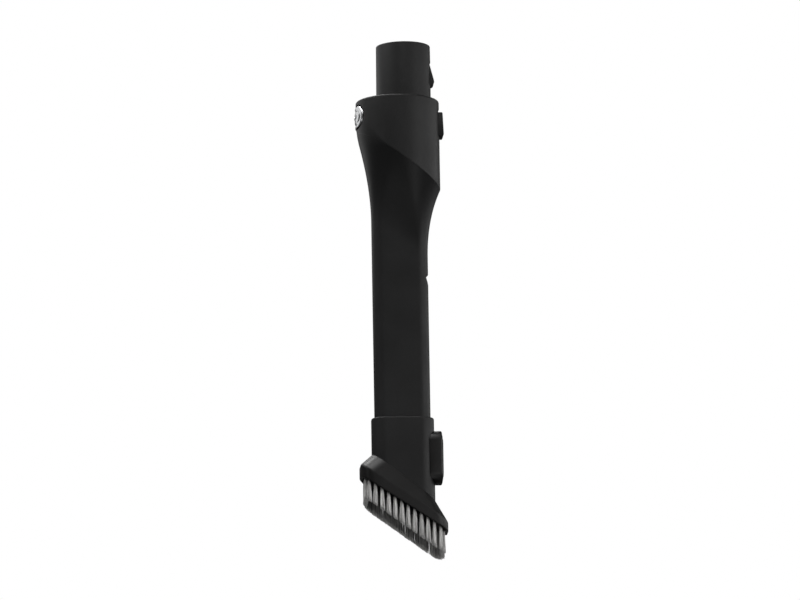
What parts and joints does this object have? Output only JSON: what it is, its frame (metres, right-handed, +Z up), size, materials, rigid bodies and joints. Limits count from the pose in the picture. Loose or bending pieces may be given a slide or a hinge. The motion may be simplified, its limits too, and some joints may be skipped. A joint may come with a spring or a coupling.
{
  "type": "two-in-one crevice and dusting-brush vacuum accessory",
  "caption": "Hanging vacuum-cleaner nozzle: round latching spigot and collar, flat crevice tube, and a sliding sleeve with a thumb lock and a slanted dusting brush.",
  "frame": {"origin": "on the spigot's axis, at the collar's shoulder, where the accessory stops against the pipe that holds it", "axes": "+Z up along the spigot towards its rim; +X towards the latch hook and the thumb pad; the silver release button faces -X"},
  "size_m": [0.0536, 0.0502, 0.3141],
  "materials": {
    "body_plastic": "fine moulded texture, satin black",
    "head_plastic": "satin black, slightly smoother than the body",
    "trim_plastic": "matte black",
    "silver_plate": "satin plated silver",
    "steel": "bright drawn steel",
    "rubber": "matte black rubber",
    "bristle_fibre": "light grey nylon filament tufts"
  },
  "bodies": {
    "nozzle": {"nozzle_neck": "body_plastic", "crevice_tube": "body_plastic", "collar_shell": "body_plastic", "spigot_pipe": "body_plastic", "duct_seal": "rubber", "duct_screw_front": "steel", "duct_screw_rear": "steel", "latch_pin": "steel", "button_guide": "trim_plastic", "button_spring": "steel"},
    "button": {"button_cap": "silver_plate", "button_slider": "trim_plastic", "push_ring": "trim_plastic"},
    "latch": {"latch_lever": "trim_plastic"},
    "brush": {"sleeve_shell": "body_plastic", "brush_head": "head_plastic", "bristle_carrier": "trim_plastic", "bristles_front": "bristle_fibre", "bristles_rear": "bristle_fibre", "bristles_heel": "bristle_fibre", "bristles_toe": "bristle_fibre", "lock_housing": "head_plastic", "lock_pin": "steel", "lock_spring": "steel"},
    "lock": {"thumb_pad": "trim_plastic", "grip_insert": "rubber", "lock_leaf": "steel"}
  },
  "joints": [
    {"name": "release_button_press", "type": "slide", "parent": "nozzle", "child": "button", "axis": [1, 0, 0], "range_m": [0, 0.00095], "stiffness_N_per_m": 800, "springref_m": -0.002, "deforming": ["button_spring"]},
    {"name": "latch_tilt", "type": "hinge", "parent": "nozzle", "child": "latch", "pos_m": [0.0148, 0, -0.0044], "axis": [0, -1, 0], "range_deg": [0, 9.8]},
    {"name": "brush_slide", "type": "slide", "parent": "nozzle", "child": "brush", "axis": [0, 0, 1], "range_m": [0, 0.1], "deforming": ["lock_leaf"]},
    {"name": "thumb_pad_press", "type": "hinge", "parent": "brush", "child": "lock", "pos_m": [0.0172, 0, -0.219], "axis": [0, 1, 0], "range_deg": [0, 5.5], "stiffness_Nm_per_rad": 1.2, "springref_deg": -8.59, "deforming": ["lock_spring"]}
  ],
  "couplings": [
    {"joint": "latch_tilt", "follows": "release_button_press", "rad_per_m": 178.6}
  ]
}
